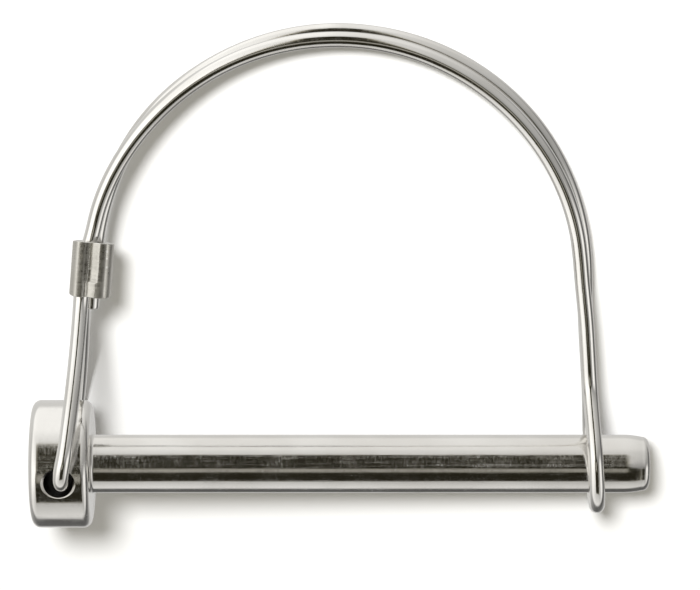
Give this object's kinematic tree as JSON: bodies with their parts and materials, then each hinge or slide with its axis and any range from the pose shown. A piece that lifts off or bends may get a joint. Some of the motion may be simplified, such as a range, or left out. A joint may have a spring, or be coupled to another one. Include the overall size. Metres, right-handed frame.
{
  "type": "wire lock pin",
  "caption": "Round-headed steel pin whose tip is held by the loop of a sprung, doubled wire bail hinged in the head.",
  "frame": {"origin": "centre of the head's flat outer face, on the pin's axis", "axes": "+X along the pin from head to tip; +Y towards the top of the wire bail; +Z along the bail's hinge, through the head's cross hole"},
  "size_m": [0.0843, 0.0699, 0.0246],
  "materials": {
    "plated_steel": "bright zinc or nickel plate, polished, with fine lengthwise scratches",
    "spring_wire": "bright plated spring wire",
    "crimped_sleeve": "satin, with tool marks from crimping"
  },
  "bodies": {
    "pin": {"pin": "plated_steel"},
    "bail": {"bail_wire_eye_run": "spring_wire", "bail_wire_tail_run": "spring_wire", "ferrule": "crimped_sleeve"},
    "loop_leg": {"bail_wire_loop_run": "spring_wire"}
  },
  "joints": [
    {"name": "bail_swing", "type": "hinge", "parent": "pin", "child": "bail", "pos_m": [0.00445, 0, 0], "axis": [0, 0, 1], "range_deg": [-2, 220]},
    {"name": "bail_spread", "type": "hinge", "parent": "bail", "child": "loop_leg", "pos_m": [0.0768, 0.058, 0], "axis": [0, 0, 1], "range_deg": [0, 9], "stiffness_Nm_per_rad": 4, "deforming": ["bail_wire_loop_run"]}
  ]
}
